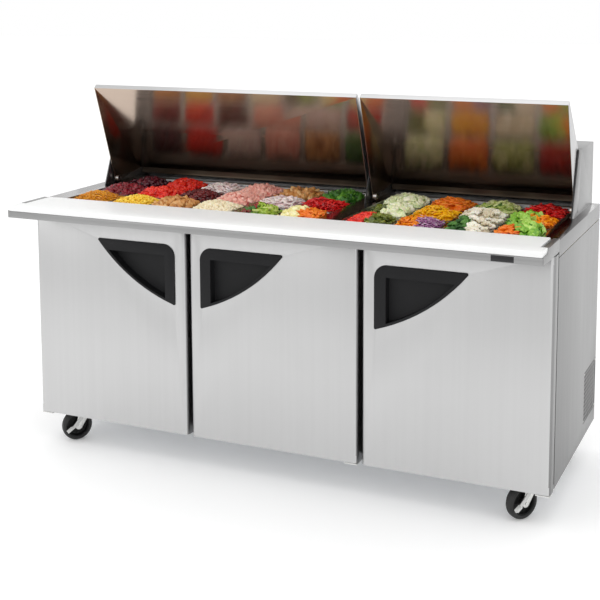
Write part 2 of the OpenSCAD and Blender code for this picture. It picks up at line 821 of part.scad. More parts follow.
// Wheel: tyre around a hub with a bore
module wheel(x, y) {
    h = wheel_w / 2;
    hub_r = wheel_r - 13;
    color("dimgray") on_caster(x, y) translate([0, axle_y, wheel_r]) rotate([0, 90, 0]) {
        rotate_extrude() polygon(concat([[hub_r, -h]], arc([wheel_r - 6, 6 - h], 6, -90, 0, 4),
            arc([wheel_r - 6, h - 6], 6, 0, 90, 4), [[hub_r, h]]));
        rotate_extrude() polygon([[axle_r + running, -h - 1], [14, -h - 1], [14, -6], [hub_r - 5, -4],
            [hub_r - 5, -h], [hub_r, -h], [hub_r, h], [hub_r - 5, h], [hub_r - 5, 4], [14, 6], [14, h + 1],
            [axle_r + running, h + 1]]);
    }
}

// Cranked brake lever on the outside of a fork, with a foot along its lower arm
module brake_pedal(x) {
    knee = [axle_y - 21, wheel_r + 6];
    toe = [axle_y - 47, wheel_r - 12];
    color("white") on_caster(x, caster_front_y) {
        bar_x(fork_gap + 0.5, pedal_x + 1, pedal_y, pedal_z, pedal_pin_r);
        along_x(pedal_x, pedal_x + pedal_t) {
            translate([pedal_y, pedal_z]) circle(r = 7);
            polygon([[pedal_y + 3, pedal_z - 6], [pedal_y - 6, pedal_z + 3], knee, toe, toe + [5, -8],
                knee + [8, -8]]);
        }
        along_x(pedal_x, pedal_x + 16)
            polygon([toe + [1, -1.5], toe + [19, 11], toe + [16.3, 15], toe + [-1.7, 2.5]]);
    }
}

side_panels();
base_pan();
back_panel();
foam_insulation();
inner_liner();
door_frame();
counter_top();
pan_rails();
board_shelf();
board_brackets();
display();
hood_box();
hood_gaskets();
lid_pins();
hinge_brackets();
shelf_pilasters();
wire_shelves();
evaporator();
compressor();
condenser();
condenser_fan();
vent_grilles();
cord_gland();
caster_plates();
screws();
pans(1);  // pans_1
pans(2);  // pans_2
pans(3);  // pans_3
pans(4);  // pans_4
pans(5);  // pans_5
pans(6);  // pans_6
pans(7);  // pans_7
pans(8);  // pans_8
pans(9);  // pans_9
pans(10);  // pans_10
cutting_board();
lid_left();
lid_right();
door_skin(0);  // door_skin_1
door_liner(0);  // door_liner_1
door_gasket(0);  // door_gasket_1
door_handle(0);  // door_handle_1
door_skin(1);  // door_skin_2
door_liner(1);  // door_liner_2
door_gasket(1);  // door_gasket_2
door_handle(1);  // door_handle_2
door_skin(2);  // door_skin_3
door_liner(2);  // door_liner_3
door_gasket(2);  // door_gasket_3
door_handle(2);  // door_handle_3
fork(-caster_left, caster_front_y, true);  // fork_front_left
fork(caster_right, caster_front_y, true);  // fork_front_right
fork(-caster_left, caster_rear_y, false);  // fork_rear_left
fork(caster_right, caster_rear_y, false);  // fork_rear_right
wheel(-caster_left, caster_front_y);  // wheel_front_left
wheel(caster_right, caster_front_y);  // wheel_front_right
wheel(-caster_left, caster_rear_y);  // wheel_rear_left
wheel(caster_right, caster_rear_y);  // wheel_rear_right
brake_pedal(-caster_left);  // brake_pedal_left
brake_pedal(caster_right);  // brake_pedal_right
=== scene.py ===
"""Looks for the sandwich prep table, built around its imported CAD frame. Units are metres."""
import json
import math
import random

import bmesh
import bpy
from mathutils import Matrix, Vector, noise


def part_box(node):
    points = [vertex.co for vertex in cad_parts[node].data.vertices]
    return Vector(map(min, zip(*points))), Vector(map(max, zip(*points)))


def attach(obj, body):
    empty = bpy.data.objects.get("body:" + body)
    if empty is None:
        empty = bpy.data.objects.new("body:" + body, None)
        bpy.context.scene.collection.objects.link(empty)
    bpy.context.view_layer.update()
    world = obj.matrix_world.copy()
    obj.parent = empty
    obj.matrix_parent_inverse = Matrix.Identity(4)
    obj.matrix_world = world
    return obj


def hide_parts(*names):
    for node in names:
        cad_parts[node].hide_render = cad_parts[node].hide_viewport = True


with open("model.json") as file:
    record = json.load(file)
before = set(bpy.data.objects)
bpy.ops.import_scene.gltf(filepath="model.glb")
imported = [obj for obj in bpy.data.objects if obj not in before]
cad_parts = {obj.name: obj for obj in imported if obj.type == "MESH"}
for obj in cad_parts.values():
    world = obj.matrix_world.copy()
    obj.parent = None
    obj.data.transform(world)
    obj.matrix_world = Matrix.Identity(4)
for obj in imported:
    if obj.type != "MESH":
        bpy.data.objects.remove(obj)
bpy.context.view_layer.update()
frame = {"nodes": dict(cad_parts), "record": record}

NODES = frame["nodes"]
CORNERS = ("front_left", "front_right", "rear_left", "rear_right")
COLUMNS = range(1, 11)
ROWS = 3


# ---------------------------------------------------------------- node helpers

class Shader:
    """A new material with a Principled shader, and short calls to add nodes to it."""

    def __init__(self, name, color, roughness, metallic=0.0):
        self.mat = bpy.data.materials.new(name)
        self.mat.use_nodes = True
        self.nodes = self.mat.node_tree.nodes
        self.links = self.mat.node_tree.links
        self.bsdf = self.nodes["Principled BSDF"]
        self.set("Base Color", (*color, 1))
        self.set("Roughness", roughness)
        self.set("Metallic", metallic)
        self.mat.diffuse_color = (*color, 1)

    def set(self, socket, value):
        self.bsdf.inputs[socket].default_value = value

    def add(self, kind, **values):
        node = self.nodes.new(kind)
        for key, value in values.items():
            if hasattr(node, key):
                setattr(node, key, value)
            else:
                node.inputs[key.replace("_", " ")].default_value = value
        return node

    def link(self, output, target):
        self.links.new(output, target)

    def coords(self, scale):
        """Object coordinates, scaled along each axis."""
        place = self.add("ShaderNodeTexCoord")
        mapping = self.add("ShaderNodeMapping")
        mapping.inputs["Scale"].default_value = scale
        self.link(place.outputs["Object"], mapping.inputs["Vector"])
        return mapping.outputs["Vector"]

    def along(self, axis):
        """The object coordinate along "X", "Y" or "Z", in metres."""
        split = self.add("ShaderNodeSeparateXYZ")
        self.link(self.coords((1, 1, 1)), split.inputs["Vector"])
        return split.outputs[axis]

    def noise(self, scale, detail=3.0):
        """A noise between 0 and 1 with a feature size of 1 / scale along each axis."""
        node = self.add("ShaderNodeTexNoise", Scale=1.0, Detail=detail)
        self.link(self.coords(scale), node.inputs["Vector"])
        return node.outputs["Fac"]

    def ramp(self, fac, stops):
        """Colours along fac; stops is a list of (position, colour)."""
        node = self.add("ShaderNodeValToRGB")
        line = node.color_ramp
        while len(line.elements) < len(stops):
            line.elements.new(0.5)
        for element, (where, color) in zip(line.elements, stops):
            element.position = where
            element.color = (*color, 1)
        self.link(fac, node.inputs["Fac"])
        return node.outputs["Color"]

    def remap(self, fac, low, high, source=(0.3, 0.7)):
        """fac stretched so that source becomes low to high. It stays between them."""
        node = self.add("ShaderNodeMapRange")
        node.inputs["From Min"].default_value = source[0]
        node.inputs["From Max"].default_value = source[1]
        node.inputs["To Min"].default_value = low
        node.inputs["To Max"].default_value = high
        self.link(fac, node.inputs["Value"])
        return node.outputs["Result"]

    def color(self, output):
        self.link(output, self.bsdf.inputs["Base Color"])

    def rough(self, output):
        self.link(output, self.bsdf.inputs["Roughness"])

    def bump(self, height, strength, distance):
        node = self.add("ShaderNodeBump", Strength=strength, Distance=distance)
        self.link(height, node.inputs["Height"])
        self.link(node.outputs["Normal"], self.bsdf.inputs["Normal"])


def tone(color, factor):
    return tuple(min(1.0, c * factor) for c in color)


# ---------------------------------------------------------------- materials

GRAIN = {"x": (2.5, 700, 700), "y": (700, 2.5, 700), "z": (700, 700, 2.5)}
STREAK = {"x": (0.7, 60, 60), "y": (60, 0.7, 60), "z": (60, 60, 0.7)}


def steel(name, base, roughness, grain="z", contrast=0.05, bump=0.12, stretch=0.0, fade=None):
    """Brushed stainless steel: fine grain along one axis, soft streaks and faint hand marks.

    stretch draws reflections out across a grain that runs along X. fade is
    (factor, low, high), light and shade painted by height: the colour is scaled by factor at the height
    low, and not at all from high up."""
    s = Shader(name, base, roughness, 1.0)
    if stretch:
        s.set("Anisotropic", stretch)
        turn = s.add("ShaderNodeTangent", direction_type="RADIAL", axis="X")
        s.link(turn.outputs["Tangent"], s.bsdf.inputs["Tangent"])
    fine = s.noise(GRAIN[grain], 2)
    streak = s.noise(STREAK[grain], 2)
    marks = s.noise((4, 4, 4), 4)
    low, high = tone(base, 1 - contrast), tone(base, 1 + contrast)
    mixed = s.add("ShaderNodeMath", operation="ADD")
    s.link(streak, mixed.inputs[0])
    s.link(s.remap(marks, -0.15, 0.15), mixed.inputs[1])
    color = s.ramp(mixed.outputs[0], [(0.3, low), (0.7, high)])
    # painted shading: the colour is made lighter or darker by height, standing in for light and shade
    if fade:
        faded = s.add("ShaderNodeVectorMath", operation="SCALE")
        s.link(color, faded.inputs[0])
        s.link(s.remap(s.along("Z"), fade[0], 1.0, fade[1:]), faded.inputs["Scale"])
        color = faded.outputs["Vector"]
    s.color(color)
    s.rough(s.remap(fine, roughness - 0.05, roughness + 0.05))
    s.bump(fine, bump, 0.0002)
    return s.mat


def worktop():
    """Polished worktop with painted shade: its colour is dark around the pans, for the dark reflection
    there, and lighter towards the back.
    """
    dark, light = (0.16, 0.15, 0.15), (0.5, 0.5, 0.5)
    from_y, to_y = 0.2, 0.34
    s = Shader("steel_worktop_painted_shade", dark, 0.13, 1.0)
    # painted shade: a ramp from dark near the pans to light at the back
    s.color(s.ramp(s.remap(s.along("Y"), 0.0, 1.0, (from_y, to_y)), [(0.0, dark), (1.0, light)]))
    fine = s.noise(GRAIN["x"], 2)
    s.rough(s.remap(fine, 0.1, 0.17))
    s.bump(fine, 0.04, 0.0002)
    return s.mat


def plastic(name, base, roughness, grain=900, bump=0.2, mottle=0.04, shine=0.5):
    """Moulded plastic with a fine spark-eroded texture."""
    s = Shader(name, base, roughness)
    s.set("Specular IOR Level", shine)
    s.color(s.ramp(s.noise((12, 12, 12), 3),
                   [(0.35, tone(base, 1 - mottle)), (0.65, tone(base, 1 + mottle))]))
    fine = s.noise((grain, grain, grain), 2)
    s.rough(s.remap(fine, roughness - 0.05, roughness + 0.06))
    s.bump(fine, bump, 0.0003)
    return s.mat


def board_plastic():
    """White cutting-board plastic: faintly see-through, with a pebbled face and knife marks."""
    base = (0.86, 0.865, 0.86)
    s = Shader("board_white", base, 0.42)
    s.color(s.ramp(s.noise((5, 5, 5), 3), [(0.3, (0.845, 0.85, 0.845)), (0.7, base)]))
    pebble = s.noise((380, 380, 380), 1)
    cuts = s.noise((14, 420, 30), 2)
    both = s.add("ShaderNodeMath", operation="ADD")
    s.link(pebble, both.inputs[0])
    s.link(s.remap(cuts, 0.0, 0.6, (0.62, 0.7)), both.inputs[1])
    s.rough(s.remap(pebble, 0.36, 0.48))
    s.bump(both.outputs[0], 0.12, 0.0004)
    s.set("Subsurface Weight", 0.08)
    s.set("Subsurface Radius", (0.01, 0.01, 0.01))
    return s.mat


def foam():
    s = Shader("foam_yellow", (0.8, 0.68, 0.36), 0.9)
    cells = s.add("ShaderNodeTexVoronoi", Scale=260.0)
    s.link(s.coords((1, 1, 1)), cells.inputs["Vector"])
    s.color(s.ramp(cells.outputs["Distance"], [(0.0, (0.86, 0.75, 0.42)), (0.8, (0.7, 0.58, 0.3))]))
    s.bump(cells.outputs["Distance"], 0.5, 0.001)
    return s.mat


def galvanised():
    """Zinc-plated sheet with its spangle."""
    s = Shader("galvanised", (0.55, 0.57, 0.59), 0.42, 1.0)
    cells = s.add("ShaderNodeTexVoronoi", Scale=70.0)
    s.link(s.coords((1, 1, 1)), cells.inputs["Vector"])
    s.color(s.ramp(cells.outputs["Distance"], [(0.0, (0.62, 0.64, 0.66)), (0.9, (0.45, 0.47, 0.5))]))
    s.rough(s.remap(s.noise((50, 50, 50)), 0.34, 0.5))
    return s.mat


def rubber(name, base=(0.02, 0.02, 0.021), roughness=0.62):
    s = Shader(name, base, roughness)
    dust = s.noise((30, 30, 30), 4)
    s.color(s.ramp(dust, [(0.45, base), (0.8, tone(base, 2.2))]))
    s.rough(s.remap(dust, roughness - 0.08, roughness + 0.1))
    s.bump(s.noise((600, 600, 600), 2), 0.2, 0.0003)
    return s.mat


def paint(name, base, roughness):
    """Sprayed paint with a faint orange peel."""
    s = Shader(name, base, roughness)
    peel = s.noise((260, 260, 260), 2)
    s.color(s.ramp(s.noise((9, 9, 9)), [(0.3, tone(base, 0.9)), (0.7, tone(base, 1.12))]))
    s.rough(s.remap(peel, roughness - 0.04, roughness + 0.04))
    s.bump(peel, 0.1, 0.0004)
    return s.mat


# painted shade: the power deepens and darkens every food colour, for the shade under the lids
RIPENESS = 1.25     # a power on the foods' colours, which makes them deeper


def food_material(name, colors, roughness):
    """Food: each bit's own tint picks its colour, and a small noise mottles it."""
    # painted shade: each colour darkened by the power
    colors = [tuple(c ** RIPENESS for c in color) for color in colors]
    middle = colors[len(colors) // 2]
    s = Shader("food_" + name, middle, roughness)
    tint = s.add("ShaderNodeAttribute", attribute_name="tint")
    mottle = s.noise((160, 160, 160), 3)
    both = s.add("ShaderNodeMath", operation="ADD")
    s.link(tint.outputs["Fac"], both.inputs[0])
    s.link(s.remap(mottle, -0.18, 0.18), both.inputs[1])
    last = max(1, len(colors) - 1)
    s.color(s.ramp(both.outputs[0], [(i / last, c) for i, c in enumerate(colors)]))
    s.rough(s.remap(mottle, roughness - 0.1, roughness + 0.12))
    s.bump(mottle, 0.25, 0.0012)
    s.set("Subsurface Weight", 0.12)
    s.set("Subsurface Radius", (0.004, 0.002, 0.001))
    return s.mat


M = {
    # painted shading: the doors are made lighter towards the bottom, darker under the shelf
    "door": steel("steel_door_painted_shading", (0.54, 0.54, 0.54), 0.36, "z", 0.012,
                  fade=(1.08, 0.13, 0.45)),
    # painted shade: the side steel is the doors' steel made darker, for faces turned from the light, and
    # darker still towards the bottom
    "side": steel("steel_side_painted_shade", (0.315, 0.315, 0.315), 0.38, "z", 0.03,
                  fade=(0.76, 0.13, 0.8)),
    "fascia": steel("steel_fascia", (0.33, 0.33, 0.33), 0.34, "x", 0.05),
    "hood": steel("steel_hood", (0.33, 0.33, 0.33), 0.34, "x", 0.04),
    "top": worktop(),
    "lid_outer": steel("steel_lid_outer", (0.58, 0.58, 0.58), 0.3, "x", 0.03),
    # painted reflection: a warm tint for the food the polished steel mirrors, darker towards the bottom
    "lid_inner": steel("steel_lid_inner_painted_reflection", (0.5, 0.4, 0.33), 0.19, "x", 0.02, 0.01,
                       stretch=0.9, fade=(0.5, 0.92, 1.16)),
    # painted shade: the lids' foot behind the pans is a dark brown, for the shade and reflection there
    "lid_tail": steel("steel_lid_tail_painted_shade", (0.1, 0.075, 0.055), 0.3, "x", 0.03, 0.02),
    "pan": steel("steel_pan", (0.3, 0.3, 0.3), 0.22, "x", 0.05, 0.05),
    "zinc": steel("zinc_bright", (0.72, 0.72, 0.7), 0.28, "z", 0.06, 0.1),
    "liner": steel("aluminium_liner", (0.72, 0.73, 0.74), 0.42, "z", 0.04),
    "galvanised": galvanised(),
    "board": board_plastic(),
    "foam": foam(),
    "handle": plastic("handle_black", (0.011, 0.011, 0.012), 0.5, shine=0.2),
    "frame": plastic("frame_black", (0.008, 0.008, 0.008), 0.5, shine=0.25),
    "door_liner": plastic("door_liner_white", (0.8, 0.8, 0.79), 0.4, 700, 0.15),
    "display": plastic("display_black", (0.006, 0.006, 0.007), 0.15, 200, 0.02),
    "pedal": plastic("pedal_grey", (0.6, 0.6, 0.59), 0.35),
    "rubber": rubber("seal_black"),
    "tyre": rubber("tyre_black", (0.006, 0.006, 0.006), 0.55),
    "hub": plastic("hub_black", (0.005, 0.005, 0.005), 0.45, shine=0.2),
    "black_metal": paint("bracket_black", (0.02, 0.02, 0.021), 0.35),
    "black_paint": paint("compressor_black", (0.015, 0.015, 0.016), 0.3),
    "wire": paint("wire_coating", (0.72, 0.72, 0.71), 0.3),
}


# ---------------------------------------------------------------- mesh helpers

def publish(name, mesh, body, materials, smooth=None):
    """Links a mesh as a piece that rides on a body. smooth is an angle for smooth shading."""
    obj = bpy.data.objects.new(name, mesh)
    bpy.context.scene.collection.objects.link(obj)
    for mat in materials:
        obj.data.materials.append(M[mat] if isinstance(mat, str) else mat)
    if smooth is not None:
        shade(obj, smooth)
    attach(obj, body)
    return obj


def shade(obj, angle):
    """Smooth shading, with edges sharper than angle kept sharp."""
    bm = bmesh.new()
    bm.from_mesh(obj.data)
    for face in bm.faces:
        face.smooth = True
    limit = math.radians(angle)
    for edge in bm.edges:
        edge.smooth = len(edge.link_faces) == 2 and edge.calc_face_angle(0) < limit
    bm.to_mesh(obj.data)
    bm.free()


def apply_modifiers(obj):
    """Bakes an object's modifiers into its mesh."""
    depsgraph = bpy.context.evaluated_depsgraph_get()
    mesh = bpy.data.meshes.new_from_object(obj.evaluated_get(depsgraph))
    obj.modifiers.clear()
    old = obj.data
    obj.data = mesh
    bpy.data.meshes.remove(old)


def body_of(node):
    for body, members in frame["record"]["behaviour"]["bodies"].items():
        if node in members:
            return body
    raise KeyError(node)


def clean(mesh):
    """Welds a mesh's points and joins its flat triangles into whole faces."""
    bm = bmesh.new()
    bm.from_mesh(mesh)
    bmesh.ops.remove_doubles(bm, verts=bm.verts, dist=1e-6)
    bmesh.ops.dissolve_limit(bm, angle_limit=math.radians(0.5), verts=bm.verts, edges=bm.edges)
    bm.to_mesh(mesh)
    bm.free()


def refine(node, materials, bevel=0.0005, angle=40, segments=2, choose=None):
    """A piece that stands for a CAD node, with its edges broken and its curves smooth."""
    mesh = NODES[node].data.copy()
    mesh.materials.clear()
    clean(mesh)
    obj = publish(node + "_piece", mesh, body_of(node), materials)
    modifier = obj.modifiers.new("edges", "BEVEL")
    modifier.width = bevel
    modifier.segments = segments
    modifier.limit_method = "ANGLE"
    modifier.angle_limit = math.radians(angle)
    bpy.context.view_layer.update()
    apply_modifiers(obj)
    shade(obj, 32)
    if choose:
        for face in obj.data.polygons:
            face.material_index = choose(face)
    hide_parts(node)
    return obj


def mesh_from(name, points, faces):
    mesh = bpy.data.meshes.new(name)
    mesh.from_pydata(points, [], faces)
    mesh.update()
    return mesh


def rounded_loop(half_x, half_y, r, z, n=5):
    """A rounded rectangle's points at height z, about the origin, with n steps a corner."""
    points = []
    for corner, (sx, sy) in enumerate(((1, 1), (-1, 1), (-1, -1), (1, -1))):
        for k in range(n + 1):
            a = math.radians(90 * corner + 90 * k / n)
            points.append((sx * (half_x - r) + r * math.cos(a),
                           sy * (half_y - r) + r * math.sin(a), z))
    return points


def loft(name, loops):
    """Skins between loops of equal length, and closes both ends."""
    count = len(loops[0])
    points = [p for loop in loops for p in loop]
    faces = []
    for i in range(len(loops) - 1):
        for k in range(count):
            a, b = i * count + k, i * count + (k + 1) % count
            faces.append((a, b, b + count, a + count))
    faces.append(tuple(reversed(range(count))))
    faces.append(tuple(range((len(loops) - 1) * count, len(loops) * count)))
    return mesh_from(name, points, faces)


def lathe(name, profile, steps=48):
    """Turns (radius, x) points about the X axis into a closed ring."""
    points, faces = [], []
    for i in range(steps):
        a = 2 * math.pi * i / steps
        points += [(x, r * math.cos(a), r * math.sin(a)) for r, x in profile]
    n = len(profile)
    for i in range(steps):
        for k in range(n):
            a, b = i * n + k, i * n + (k + 1) % n
            c, d = (i + 1) % steps * n + (k + 1) % n, (i + 1) % steps * n + k
            faces.append((a, b, c, d))
    return mesh_from(name, points, faces)


def join(meshes, name):
    """One mesh from several (mesh, matrix, material index) parts."""
    bm = bmesh.new()
    for mesh, matrix, index in meshes:
        part = mesh.copy()
        part.transform(matrix)
        for face in part.polygons:
            face.material_index = index
        bm.from_mesh(part)
        bpy.data.meshes.remove(part)
    result = bpy.data.meshes.new(name)
    bm.to_mesh(result)
    bm.free()
    return result


def middle(node):
    low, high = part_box(node)
    return (Vector(low) + Vector(high)) / 2


# ---------------------------------------------------------------- carried-over CAD nodes

def paint_node(node, mat):
    obj = NODES[node]
    obj.data.materials.clear()
    obj.data.materials.append(M[mat])


def paint_cad():
    """Gives the hidden and the plain nodes a finish, and leaves their meshes as they are."""
    for node, mat in {
        "base_pan": "galvanised", "foam_insulation": "foam", "inner_liner": "liner",
        "evaporator": "galvanised", "condenser": "galvanised", "condenser_fan": "galvanised",
        "compressor": "black_paint", "wire_shelves": "wire", "screws": "zinc", "lid_pins": "black_metal",
        "shelf_pilasters": "zinc", "caster_plates": "zinc", "cord_gland": "frame",
    }.items():
        paint_node(node, mat)


# ---------------------------------------------------------------- sheet metal

SEAL_EDGE = 0.8885
SEAL_NARROWING = 0.05


def narrow_seals(obj):
    """Makes the hood's outer seals, those past SEAL_EDGE on each side, a thin line."""
    for v in obj.data.vertices:
        if abs(v.co.x) > SEAL_EDGE:
            v.co.x = math.copysign(SEAL_EDGE + SEAL_NARROWING * (abs(v.co.x) - SEAL_EDGE), v.co.x)


def cabinet():
    # the side steel on these pieces is painted shade: a darker copy of the doors' steel
    refine("side_panels", ["side"])
    refine("back_panel", ["hood"])
    refine("door_frame", ["frame"], 0.002)
    # the counter's edges take the darker side steel: painted shade
    refine("counter_top", ["top", "side"], 0.0006, choose=lambda f: int(abs(f.normal.z) < 0.5))
    refine("pan_rails", ["pan"], 0.0006)
    refine("board_shelf", ["fascia"], 0.0006)
    refine("board_brackets", ["side"], 0.0008)
    refine("hood_box", ["hood"], 0.0006)
    narrow_seals(refine("hood_gaskets", ["rubber"], 0.0006))
    refine("hinge_brackets", ["black_metal", "zinc"], 0.0006,
           choose=lambda f: int(f.center.z < 0.4))
    refine("vent_grilles", ["side"], 0.0004)
    refine("display", ["display"], 0.0003)
    refine("cutting_board", ["board"], 0.003, segments=4)


TAIL_FRONT, TAIL_TOP = 0.36, 0.96


def lids():
    """Lids: brushed outside, polished towards the food with a painted reflection of the food, warm and
    darker towards the bottom, and at the foot behind the pans painted dark as shade.
    """
    for side in ("left", "right"):
        node = "lid_" + side
        low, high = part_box(node)
        centre_x = (low[0] + high[0]) / 2

        # finish picks the brushed outside, the polished inside with its painted reflection, and the foot
        # with its painted shade
        def finish(face):
            if face.center.y > TAIL_FRONT and face.center.z < TAIL_TOP and face.normal.y < 0:
                return 2
            towards_food = face.normal.y < -0.3 and face.normal.z < 0.3
            facing_in = (face.center.x - centre_x) * face.normal.x < -0.01
            return int(towards_food or facing_in)

        refine(node, ["lid_outer", "lid_inner", "lid_tail"], 0.0008, 50, 2, finish)


def doors():
    for i in (1, 2, 3):
        # the skins' side faces take the darker side steel: painted shade
        refine(f"door_skin_{i}", ["door", "side"], 0.0005,
               choose=lambda f: int(abs(f.normal.x) > 0.6))
        refine(f"door_liner_{i}", ["door_liner"], 0.002, segments=3)
        refine(f"door_gasket_{i}", ["rubber"], 0.002, segments=3)
        refine(f"door_handle_{i}", ["handle"], 0.0015, segments=3)


# ---------------------------------------------------------------- pans

PAN_CORNER = 0.022
PAN_RIM = 0.0105
PAN_WALL = 0.001
PAN_SHEET = 0.0016
PAN_GAP = 0.001


def pan_places(column):
    """Centres of a column's three pans, from its CAD node, and half a pan's pitch each way."""
    low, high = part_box(f"pans_{column}")
    pitch = (high[1] - low[1] + PAN_GAP) / ROWS
    x, front = (low[0] + high[0]) / 2, low[1] - PAN_GAP / 2
    places = [(x, front + pitch * (row + 0.5)) for row in range(ROWS)]
    return places, (high[0] - low[0]) / 2, pitch / 2


def pans():
    for column in COLUMNS:
        low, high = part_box(f"pans_{column}")
        places, half_x, half_y = pan_places(column)
        half_y -= PAN_GAP / 2
        top, bottom = high[2], low[2]
        inner = PAN_RIM + PAN_WALL
        outside = [(PAN_RIM + 0.012, bottom), (PAN_RIM + 0.004, bottom + 0.003),
                   (PAN_RIM + 0.0015, bottom + 0.012), (PAN_RIM, top - 0.006)]
        rim = [(PAN_RIM - 0.002, top - PAN_SHEET), (0.002, top - PAN_SHEET), (0.0, top - 0.0022),
               (0.0, top - 0.0006), (0.001, top), (PAN_RIM - 0.001, top)]
        inside = [(inner, top - 0.003), (inner + 0.0015, bottom + 0.013),
                  (inner + 0.005, bottom + 0.0045), (PAN_RIM + 0.014, bottom + 0.0015)]
        loops = [rounded_loop(half_x - inset, half_y - inset, PAN_CORNER - inset * 0.3, z)
                 for inset, z in outside + rim + inside]
        shape = loft("pan_shape", loops)
        parts = [(shape, Matrix.Translation((x, y, 0)), 0) for x, y in places]
        obj = publish(f"pans_{column}_piece", join(parts, f"pans_{column}_mesh"),
                      f"pans_{column}", ["pan"], 35)
        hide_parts(f"pans_{column}")


# ---------------------------------------------------------------- food

def bm_points(build):
    """A template's points and faces from a function that fills a bmesh."""
    bm = bmesh.new()
    build(bm)
    bm.verts.index_update()
    points = [v.co.copy() for v in bm.verts]
    faces = [[v.index for v in f.verts] for f in bm.faces]
    bm.free()
    return points, faces


def dice(bm):
    bmesh.ops.create_cube(bm, size=1)
    bmesh.ops.bevel(bm, geom=list(bm.edges), offset=0.14, segments=2, affect="EDGES", profile=0.5)


def bead(bm):
    bmesh.ops.create_icosphere(bm, subdivisions=2, radius=0.5)


def lump(bm):
    bmesh.ops.create_icosphere(bm, subdivisions=2, radius=0.5)
    for v in bm.verts:
        v.co *= 1 + 0.45 * noise.noise(v.co * 3.1)
        v.co.z *= 0.7


def slice_round(bm):
    bmesh.ops.create_cone(bm, cap_ends=True, segments=16, radius1=0.5, radius2=0.5, depth=0.16)
    rims = [e for e in bm.edges if abs(e.verts[0].co.z - e.verts[1].co.z) < 0.01]
    bmesh.ops.bevel(bm, geom=rims, offset=0.035, segments=1, affect="EDGES")


def sweep(bm, path, width, height, sides=4):
    """A strip of rectangular section along a path in the XY plane."""
    rings = []
    for k, p in enumerate(path):
        ahead, behind = path[min(k + 1, len(path) - 1)], path[max(k - 1, 0)]
        t = (ahead - behind).normalized()
        across = Vector((-t.y, t.x, 0))
        thin = 0.6 if k in (0, len(path) - 1) else 1.0
        ring = []
        for s in range(sides):
            a = 2 * math.pi * (s + 0.5) / sides
            rise = Vector((0, 0, math.sin(a) * height * thin))
            ring.append(bm.verts.new(p + across * math.cos(a) * width * thin + rise))
        rings.append(ring)
    for r0, r1 in zip(rings, rings[1:]):
        for s in range(sides):
            bm.faces.new((r0[s], r0[(s + 1) % sides], r1[(s + 1) % sides], r1[s]))
    bm.faces.new(list(reversed(rings[0])))
    bm.faces.new(rings[-1])


def arc_path(radius, span, steps=7, lift=0.0):
    """Points along an arc, raised by lift in the middle."""
    points = []
    for k in range(steps):
        part = k / (steps - 1)
        a = span * (part - 0.5)
        points.append(Vector((radius * math.sin(a), radius * (math.cos(a) - 1),
                              lift * math.sin(math.pi * part))))
    return points


def strip(bm):
    sweep(bm, arc_path(0.55, 1.7, lift=0.12), 0.11, 0.06)


def shred(bm):
    sweep(bm, arc_path(0.9, 1.1, 5, 0.1), 0.05, 0.045)


def ring(bm):
    steps, sides = 14, 6
    rings = []
    for i in range(steps):
        a = 2 * math.pi * i / steps
        bump = 1 + 0.06 * math.sin(3 * a)
        loop = []
        for s in range(sides):
            b = 2 * math.pi * s / sides
            r = 0.38 * bump + 0.09 * math.cos(b)
            loop.append(bm.verts.new((r * math.cos(a), r * math.sin(a), 0.12 * math.sin(b))))
        rings.append(loop)
    for i in range(steps):
        for s in range(sides):
            t = (s + 1) % sides
            bm.faces.new((rings[i][s], rings[(i + 1) % steps][s], rings[(i + 1) % steps][t], rings[i][t]))


def leaf(bm):
    """A crumpled leaf with a frilled edge, thin but closed."""
    n = 8
    sheets = []
    for side in (0, 1):
        grid = []
        for i in range(n):
            for k in range(n):
                u, v = i / (n - 1) - 0.5, k / (n - 1) - 0.5
                edge = max(abs(u), abs(v)) * 2
                crumple = 0.16 * math.sin(u * 7 + v * 3) + 0.12 * math.sin(v * 9) * edge
                z = crumple + 0.25 * (1 - edge * edge)
                narrow = 1 - 0.35 * (2 * v) ** 2
                grid.append(bm.verts.new((u * narrow, v, z - side * 0.03)))
        sheets.append(grid)
    for side, grid in enumerate(sheets):
        for i in range(n - 1):
            for k in range(n - 1):
                a, b = i * n + k, (i + 1) * n + k
                quad = [grid[a], grid[b], grid[b + 1], grid[a + 1]]
                bm.faces.new(list(reversed(quad)) if side else quad)
    rim = [i * n for i in range(n)] + [(n - 1) * n + k for k in range(1, n)]
    rim += [i * n + n - 1 for i in range(n - 2, -1, -1)] + [k for k in range(n - 2, 0, -1)]
    for a, b in zip(rim, rim[1:] + rim[:1]):
        bm.faces.new((sheets[0][b], sheets[0][a], sheets[1][a], sheets[1][b]))


def floret(bm):
    """A cluster of buds on a stalk."""
    bmesh.ops.create_cone(bm, cap_ends=True, segments=8, radius1=0.12, radius2=0.2, depth=0.45,
                          matrix=Matrix.Translation((0, 0, -0.25)))
    rng = random.Random(5)
    for i in range(17):
        a, ring_r = i * 2.4, 0.3 * math.sqrt(i / 17)
        place = (ring_r * math.cos(a), ring_r * math.sin(a),
                 0.2 - 0.9 * ring_r * ring_r + rng.uniform(-0.02, 0.02))
        bmesh.ops.create_icosphere(bm, subdivisions=1, radius=rng.uniform(0.09, 0.13),
                                   matrix=Matrix.Translation(place))


TEMPLATES = {f.__name__: bm_points(f)
             for f in (dice, bead, lump, slice_round, strip, shred, ring, leaf, floret)}

